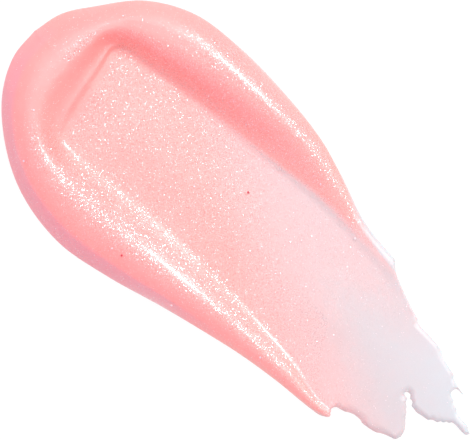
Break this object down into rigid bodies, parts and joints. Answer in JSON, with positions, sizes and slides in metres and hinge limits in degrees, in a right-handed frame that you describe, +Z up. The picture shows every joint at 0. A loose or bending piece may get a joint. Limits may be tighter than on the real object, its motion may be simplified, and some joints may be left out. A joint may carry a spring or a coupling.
{
  "type": "lip gloss smear",
  "caption": "Smear of pearly coral lip gloss on a flat surface: heavy rounded head, raised side ridges, flat trough and a thin tail that splits into fingers.",
  "frame": {"origin": "the middle of the smear's outline, on the surface that it lies on", "axes": "+X along the stroke from the heavy head to the split tail, +Y towards the taller ridge with its highlight, +Z up"},
  "size_m": [0.04, 0.0178, 0.0022],
  "materials": {
    "gloss": "wet high gloss, pale coral with fine pearl shimmer",
    "pearl_flake": "mirror-bright pearl",
    "pigment": "undispersed red pigment"
  },
  "bodies": {
    "root": {"gloss": "gloss", "flake_01": "pearl_flake", "flake_02": "pearl_flake", "flake_03": "pearl_flake", "flake_04": "pearl_flake", "flake_05": "pearl_flake", "flake_06": "pearl_flake", "flake_07": "pearl_flake", "flake_08": "pearl_flake", "flake_09": "pearl_flake", "flake_10": "pearl_flake", "flake_11": "pearl_flake", "flake_12": "pearl_flake", "flake_13": "pearl_flake", "flake_14": "pearl_flake", "flake_15": "pearl_flake", "flake_16": "pearl_flake", "flake_17": "pearl_flake", "flake_18": "pearl_flake", "flake_19": "pearl_flake", "flake_20": "pearl_flake", "flake_21": "pearl_flake", "flake_22": "pearl_flake", "flake_23": "pearl_flake", "flake_24": "pearl_flake", "flake_25": "pearl_flake", "flake_26": "pearl_flake", "flake_27": "pearl_flake", "flake_28": "pearl_flake", "flake_29": "pearl_flake", "flake_30": "pearl_flake", "pigment_grain_1": "pigment", "pigment_grain_2": "pigment"}
  },
  "joints": []
}
